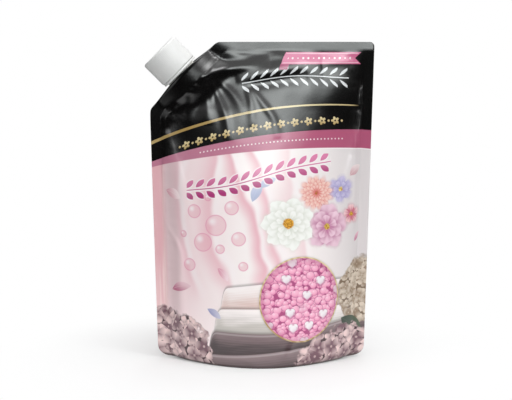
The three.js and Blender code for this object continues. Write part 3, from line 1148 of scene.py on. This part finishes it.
# Blossoms on the panel: middle, radius, petals, layers, first turn, the eye's radius, and the
# colours of the petals' tips, of their foot and of the eye
blossoms = [
    ((68, 150), 11, 6, 2, 0.3, 2.0, (205, 196, 226), (166, 158, 206), (236, 214, 120)),
    ((46, 148), 14, 13, 4, 0.8, 1.6, (250, 214, 204), (226, 128, 122), (214, 108, 104)),
    ((55, 119), 19, 5, 3, 1.1, 2.6, (240, 206, 222), (198, 128, 164), (220, 190, 90)),
    ((22, 123), 22, 7, 4, 0.2, 4.4, (252, 252, 248), (222, 224, 214), (232, 176, 66)),
    ((79, 128), 8, 5, 1, 0.5, 1.8, (244, 206, 210), (206, 112, 132), (222, 180, 70)),
]
pollen = (180, 120, 40)


def layBlossoms(paint, at):
    for (middleX, middleZ), radius, petalCount, layers, turn, eyeSize, tip, foot, eye in blossoms:
        reach = at.away(middleX, middleZ)
        angle = (at.z - middleZ).calc("ARCTAN2", at.x - middleX)
        vein = (angle * (petalCount * 3)).sin() * 0.1
        ragged = at.cloud(radius * 0.35, 2, turn)
        for layer in range(layers):
            size = radius * (1 - 0.72 * layer / layers)
            lobes = abs(angle.scaled(petalCount / 2, turn + 1.3 * layer).sin()) ** 0.6
            rim = lobes.scaled(0.36 * size, ragged.scaled(0.3 * radius, 0.64 * size - 0.15 * radius))
            edge = reach - rim
            paint = paint.over(edge.rise(3.4, -0.2, 0.3), foot)
            tint = lobes.scaled(0.5, reach.scaled(1 / size, vein)).rise(0.6, 1.5)
            paint = paint.over(edge.inside(0.3), blend(tint, foot, tip))
        grain = at.cloud(1.1, 1, 2)
        shown = reach.scaled(1, grain * 2).rise(eyeSize + 1.4, eyeSize + 0.6)
        paint = paint.over(shown, blend(grain.rise(0.4, 0.6), eye, pollen))
    return paint


# Single petals and leaves: middle, half length and half width, tilt and the two colours along it
petals = [
    ((-4, 150), (9, 4), 62, (176, 184, 214), (206, 210, 232)),
    ((5, 158), (8, 3.4), 30, (190, 196, 222), (214, 218, 238)),
    ((-76, 146), (8, 4.2), -24, (222, 168, 180), (250, 232, 234)),
    ((82, 166), (7, 3.8), 38, (214, 170, 178), (244, 230, 230)),
    ((86, 108), (5, 2), 55, (206, 130, 160), (236, 190, 206)),
]
leaves = [
    ((-70, 66), (11, 4), 14, (196, 118, 146), (240, 206, 214)),
    ((-30, 80), (7, 3), -52, (226, 160, 180), (250, 226, 232)),
    ((-38, 46), (7, 3), -34, (160, 160, 198), (206, 204, 224)),
    ((84, 30), (15, 8), -40, (44, 58, 46), (86, 100, 80)),
]


def leafDistance(along, across, halfLength, halfWidth):
    share = along / halfLength
    return (share * share).scaled(halfWidth, abs(across) - halfWidth)


def layLeaves(paint, at, places):
    for middle, (length, width), tilt, foot, tip in places:
        along, across = at.turned(tilt, *middle)
        bowed = (along * along).scaled(0.12 / length, across)
        shape = leafDistance(along, bowed, length, width).inside(0.25)
        tint = along.scaled(0.5 / length, bowed / (4 * width)).rise(-0.5, 0.5)
        paint = paint.over(shape, blend(tint, foot, tip))
        paint = paint.over(abs(bowed).rise(0.3, 0.05, 0.5) * shape, tip)
    return paint


# A stem with paired leaves along a line
def sprig(along, across, pitch, leafLength, leafWidth, tilt):
    half = leafLength * 0.62
    step = (along / pitch).calc("FRACT").scaled(pitch, -pitch / 2 - leafLength * 0.18)
    side = abs(across) - half
    c, s = math.cos(math.radians(tilt)), math.sin(math.radians(tilt))
    leaf = leafDistance(step.scaled(c, side * s), side.scaled(c, step * -s), half, leafWidth)
    return leaf.least(abs(across) - 0.45)


# The bead window: pink lentils and a few white hearts behind a thin gold rim. Of the topmost
# layer of lentils and of the hearts, only those are drawn whose random number is above a share.
window = {
    "at": (32.5, 58),
    "size": (33, 35.5),
    "rim": 1.1,
    "beadSize": 5.8,
    "layers": (0.82, 0.9, 1.15),
    "topFrom": 0.42,
    "heartSize": 2.5,
    "heartsFrom": 0.45,
}


def layBeads(paint, at):
    for layer, share in enumerate(window["layers"]):
        size = window["beadSize"] * share
        awayX, awayZ, pick, turn = at.cells(size, 6.1 * layer + 0.5, 0.85)
        radius = pick.scaled(0.14, 0.39)
        reach = lengthOf(awayX, awayZ * 1.08) / radius
        shown = turn.rise(window["topFrom"], window["topFrom"] + 0.01) if layer == 2 else 1
        slant = awayX.scaled(-0.35, awayZ) / radius
        tint = slant.scaled(0.3, reach * reach * -0.25 + 0.66 + 0.08 * layer).rise(0.1, 1.0)
        body = blend(tint, "beadLow", "bead")
        glint = lengthOf(radius.scaled(0.3, awayX), radius.scaled(-0.35, awayZ)).rise(0.18, 0.03, 0.6)
        body = body.over(glint, "beadLight")
        paint = paint.over(reach.rise(1.25, 1.0, 0.85) * shown, "beadGap")
        paint = paint.over(reach.rise(1.05, 0.95) * shown, body)
    return paint


# a heart is where (x² + z² - 1)³ stays below x²z³
def layHearts(paint, at):
    awayX, awayZ, pick, _ = at.cells(window["beadSize"] * window["heartSize"], 1.1, 0.9)
    x, z = awayX * 4.3, awayZ * 4.3 + 0.1
    disc = (x * x).scaled(1, z * z) - 1
    heart = disc * disc * disc - x * x * z * z * z
    shown = pick.rise(window["heartsFrom"], window["heartsFrom"] + 0.01)
    shade = z.scaled(0.5, x * -0.3 + 0.5).rise(-0.3, 0.7)
    paint = paint.over(heart.rise(1.6, 0.1, 0.6) * shown, "beadGap")
    return paint.over(heart.inside(0.12) * shown, blend(shade, "heartShade", "heart"))


def layWindow(paint, at):
    middleX, middleZ = window["at"]
    width, height = window["size"]
    edge = lengthOf((at.x - middleX) / width, (at.z - middleZ) / height).scaled(width, -width)
    gold = blend(at.x.scaled(1, at.z).sin().scaled(0.3, at.z / 120), "goldDark", "goldLight")
    paint = paint.over(edge.rise(3, -0.2, 0.35), "plum")
    paint = paint.over(edge.rise(window["rim"] + 0.2, window["rim"] - 0.2), gold)
    # the gaps' colour, as a field that the beads are laid over
    ground = blend(edge, "beadGap", "beadGap")
    beads = layHearts(layBeads(ground, at), at).over(edge.rise(-7, 0, 0.45), "beadGap")
    return paint.over(edge.inside(), beads)


# Rising bubbles: middle and radius
bubbles = [(-48, 106, 8), (-33, 101, 4), (-37, 121, 9), (-18, 110, 6), (-24, 136, 6), (-56, 132, 6),
           (-66, 112, 3), (-44, 144, 3)]
lowBubbles = [(-60, 86, 5.5), (-14, 87, 4)]


def layBubbles(paint, at, places):
    for middleX, middleZ, radius in places:
        reach = at.away(middleX, middleZ)
        light = at.away(middleX - radius * 0.35, middleZ + radius * 0.35)
        paint = paint.over(reach.rise(radius + 0.3, radius - 0.3, 0.5), "petal")
        paint = paint.over(abs(reach - (radius - 0.5)).rise(0.65, 0.15, 0.5), "orchid")
        paint = paint.over(light.rise(radius * 0.6, 0, 0.8), "snow")
    return paint


# Pink ribbon with a forked end and a folded foot
ribbon = {
    "left": 20.5,
    "right": 86,
    "low": 256.3,
    "high": 266.4,
    "fork": 5,
    "fold": 4.5,
    "slant": 0.3,
    "pitch": 4.4,
    "light": (226, 140, 172),
    "hem": (252, 226, 236),
}


def layRibbon(paint, at):
    left, low, slant, fork = (ribbon[key] for key in ("left", "low", "slant", "fork"))
    middle = (low + ribbon["high"]) / 2
    half = (ribbon["high"] - low) / 2
    off = abs(at.z - middle)
    start = at.z.scaled(slant, left - middle * slant) - at.x
    end = off.scaled(-fork / half, at.x - ribbon["right"] + fork)
    shape = (off - half).most(start).most(end)
    foot = (low - ribbon["fold"] - at.z).most(at.z - low).most(start - 0.6)
    foot = foot.most(at.z.scaled(-slant, at.x - left - 5 + low * slant))
    paint = paint.over(foot.inside(0.15), "ribbonDark")
    tint = at.x.scaled(1 / 66, at.cloud(12, 1, 5) * 0.4).rise(0.3, 1.6)  # pales towards the left
    paint = paint.over(shape.inside(0.15), blend(tint, ribbon["light"], "ribbon"))
    hem = abs(off - (half - 1.2)).rise(0.34, 0.1, 0.8) * shape.rise(-0.7, -1.1)
    paint = paint.over(hem, ribbon["hem"])
    grow = abs((at.x / (3 * ribbon["pitch"])).calc("FRACT") - 0.5)
    dot = lengthOf(at.x.repeated(ribbon["pitch"]), off) - grow.scaled(1.1, 0.55)
    return paint.over(dot.inside(0.15) * shape.rise(-3.7, -4.3), "snow")


# rose band with a row of dots, a thin white line under it, and the black yoke above
def layBands(paint, at, onFront):
    panelTop = at.z - borderAt(at, "panel")
    yokeLow = at.z - borderAt(at, "yoke")
    whiteLine = abs(panelTop + 0.5).rise(0.55, 0.15) * at.x.rise(-20, 60)
    paint = paint.over(whiteLine, "snow")
    paint = paint.over(panelTop.rise(-0.2, 0.2), blend(at.x.rise(-60, 50), "roseLeft", "rose"))
    if onFront:
        dot = lengthOf(at.x.repeated(bandDots["pitch"]), panelTop.scaled(1, yokeLow) * 0.5)
        ends = between(at.x, *bandDots["ends"], 0.3)
        radius = bandDots["radius"]
        paint = paint.over(dot.rise(radius + 0.15, radius - 0.15, 0.85) * ends, "snow")
    return paint.over(yokeLow.rise(-0.2, 0.2), "black")


def layArc(paint, at, onFront):
    arcTop = at.z - borderAt(at, "gold")
    sheen = blend((at.x / 30 + 0.6).sin().scaled(0.5, 0.5), "goldDark", "goldLight")
    thick = at.x.scaled(-0.48 / halfPrint, 0.9)
    paint = paint.over((abs(arcTop) - thick).inside() * at.x.rise(86, 78), sheen)
    if not onFront:
        return paint
    # row of gold florets and pearls under the arc
    line = arcTop + goldRow["below"]
    step = at.x.repeated(goldRow["pitch"])
    reach = lengthOf(step, line)
    lobes = abs((line.calc("ARCTAN2", step) * 2.5).sin())
    floret = lobes.scaled(-goldRow["petal"], reach - 1.7).most(goldRow["eye"] - reach)
    pearl = lengthOf(abs(step) - goldRow["pitch"] / 2, line) - goldRow["pearl"]
    shown = floret.least(pearl).inside() * abs(at.x).rise(goldRow["half"] + 0.2, goldRow["half"] - 0.2)
    return paint.over(shown, blend(line.scaled(1 / 8, 0.5), "goldDark", "goldLight"))


# Sprigs: height, how they rise to the right, length and height of their waves, where they run
# from left to right, and their leaves' pitch, length, half width and tilt
silver = {"height": 242.5, "rise": 0.05, "wave": (19, -2.4), "ends": (-14, 76), "leaf": (8.3, 8.6, 1.2, 42)}
garland = {"height": 162, "rise": 0.22, "wave": (16, 1.6), "ends": (-63, 59), "leaf": (9.5, 8.2, 2.3, 38)}


def laySilver(paint, at):
    long, high = silver["wave"]
    line = (at.x / long).sin().scaled(high, at.x.scaled(-silver["rise"], at.z - silver["height"]))
    shape = sprig(at.x, line, *silver["leaf"]).inside()
    return paint.over(shape * between(at.x, *silver["ends"], 0.4), "silver")


# garland of petals across the panel
def layGarland(paint, at):
    long, high = garland["wave"]
    rising = at.z.scaled(-1, at.x.scaled(garland["rise"], garland["height"]))
    line = (at.x / long).sin().scaled(high, rising)
    shape = sprig(at.x, line, *garland["leaf"])
    ends = between(at.x, *garland["ends"], 0.5)
    tint = rising.scaled(-0.06, at.x.scaled(1 / 300, 0.5))
    paint = paint.over(shape.rise(1.3, 0.5, 0.85) * ends, "snow")
    return paint.over(shape.inside() * ends, blend(tint, "magenta", "orchid"))


# Florets that fill both lower corners of a sheet, and a paler patch above them on the right: the
# middle and half size of each patch, the florets' size, and their light, dark and deepest colour
patches = {
    "pale": ((92, 60), (27, 30)),
    "left": ((-97, -4), (62, 50)),
    "right": ((74, -8), (48, 40)),
}
paleFlorets = (7, (226, 212, 196), (156, 134, 114), (132, 112, 94), 1.3)
roseFlorets = (11, (238, 210, 208), (116, 80, 92), (70, 44, 52), 0.0)


def patchReach(at, name):
    (x, z), (width, height) = patches[name]
    return lengthOf((at.x - x) / width, (at.z - z) / height)


def layCorners(paint, at, onFront):
    ragged = at.cloud(11, 3, 31) * 0.5
    if onFront:
        pale = patchReach(at, "pale") + ragged
        paint = layFlorets(paint, at, pale.rise(1.25, 1.15), *paleFlorets)
        paint = layLeaves(paint, at, leaves)
    corner = patchReach(at, "left").least(patchReach(at, "right")) + ragged
    return layFlorets(paint, at, corner.rise(1.27, 1.2), *roseFlorets)


# painted shade: the print darkens towards the hem that the pouch stands on, with a painted shadow line
# along its foot
def layHemShade(paint, at):
    return paint.over(at.z.rise(9, 0, 0.3), "plum").over(at.z.rise(2.8, 1.2, 0.85), "foldLineAndHemShadow")


def paintYoke(at):
    paint = layArc(layBands(laySatin(at), at, True), at, True)
    return layRibbon(laySilver(paint, at), at)


def paintPanel(at):
    paint = layLeaves(layBubbles(laySatin(at), at, bubbles), at, petals)
    return layBands(layGarland(layBlossoms(paint, at), at), at, True)


def paintFoot(at):
    paint = layDrapes(layBubbles(laySatin(at), at, lowBubbles), at)
    return layWindow(layHemShade(layCorners(paint, at, True), at), at)


def paintBack(at):
    paint = layLeaves(layBubbles(laySatin(at), at, bubbles), at, petals)
    paint = layHemShade(layCorners(paint, at, False), at)
    return layArc(layBands(paint, at, False), at, False)


def paintBase(at):
    return blend(at.cloud(30, 2, 7).rise(0.3, 0.7), (204, 178, 184), (190, 160, 168))


# Where each print lies: the sheet (front, back or base), the height that it starts at, and what
# paints it. One material for the whole film would be too large to render.
prints = {
    "yokePrint": (0, 181, paintYoke),
    "panelPrint": (0, 96, paintPanel),
    "footPrint": (0, -9, paintFoot),
    "backPrint": (1, -9, paintBack),
    "basePrint": (2, -99, paintBase),
}


def newMaterial(name):
    material = bpy.data.materials.new(name)
    tree = clearTree(material)
    skin = tree.nodes.new("ShaderNodeBsdfPrincipled")
    out = tree.nodes.new("ShaderNodeOutputMaterial")
    tree.links.new(skin.outputs[0], out.inputs["Surface"])
    return material, skin


def bump(skin, height, distance):
    node = height.node("Bump", {"Distance": distance * mm, "Height": height})
    feed(skin, {"Normal": Field(node.outputs[0])})


# Glossy laminate over the print
filmFinish = {
    "IOR": 1.58,
    "Coat Weight": 0.35,
    "Coat Roughness": 0.06,
    "Coat IOR": 1.5,
}


def makePrint(name, sheet, painter):
    material, skin = newMaterial(name)
    source = material.node_tree.nodes.new("ShaderNodeUVMap")
    source.uv_map = "film"
    place = Field(source.outputs[0]).vector("MULTIPLY_ADD", (1 / mm, 1 / mm, 0), (-sheetStep * sheet, 0, 0))
    at = Spot(place)
    rough = at.cloud(30, 2, 4).scaled(0.1, 0.17)
    feed(skin, {"Base Color": painter(at), "Roughness": rough, **filmFinish})
    bump(skin, at.cloud(2.4, 2, 8) + at.cloud(14, 2, 12) * 3, 0.035)
    return material


def layPrints():
    mesh = filmPouch.data
    spots = np.zeros(len(mesh.loops) * 2)
    mesh.uv_layers["film"].uv.foreach_get("vector", spots)
    starts, totals = faceLoops(mesh)
    middles = np.add.reduceat(spots.reshape(-1, 2) / mm, starts, axis=0) / totals[:, None]
    sheets = np.round(middles[:, 0] / sheetStep)
    chosen = np.zeros(len(mesh.polygons), int)
    placed = np.zeros(len(mesh.polygons), bool)
    for number, (name, (sheet, above, painter)) in enumerate(prints.items()):
        mesh.materials.append(makePrint(name, sheet, painter))
        here = (sheets == sheet) & (middles[:, 1] > above) & ~placed
        chosen[here] = number
        placed |= here
        nodes = len(mesh.materials[-1].node_tree.nodes)
        print(name, "painted:", nodes, "nodes,", int(here.sum()), "faces")
    mesh.polygons.foreach_set("material_index", chosen)
    mesh.update()


layPrints()

# White moulded plastics: how they look, and how coarse their grain is in millimetres
plastics = {
    "capPlastic": {"light": (236, 236, 235), "dark": (230, 230, 229), "rough": 0.4, "grain": 0.9},
    "spoutPlastic": {"light": (232, 231, 226), "dark": (222, 220, 214), "rough": 0.36, "grain": 0.8},
    "linerFoam": {"light": (238, 236, 230), "dark": (222, 219, 211), "rough": 0.75, "grain": 0.35},
}


def makePlastic(name):
    look = plastics[name]
    material, skin = newMaterial(name)
    place = fieldFrom(material.node_tree, "TexCoord", "Object")
    at = Spot(place.vector("MULTIPLY", (1 / mm, 1 / mm, 1 / mm)))
    slow = at.cloud(9, 2, 1)
    fine = at.cloud(look["grain"], 3, 6)
    tint = blend(slow.scaled(0.6, fine * 0.4).rise(0.3, 0.7), look["dark"], look["light"])
    feed(skin, {"Base Color": tint, "Roughness": slow.scaled(0.14, look["rough"] - 0.07)})
    bump(skin, fine, look["grain"] * 0.006)
    return material


for piece in (capBody, tamperBand):
    piece.data.materials.append(makePlastic("capPlastic"))
spoutNeck.data.materials.append(makePlastic("spoutPlastic"))
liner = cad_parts["cap_liner"]
liner.data.materials.clear()
liner.data.materials.append(makePlastic("linerFoam"))
print("plastics made")
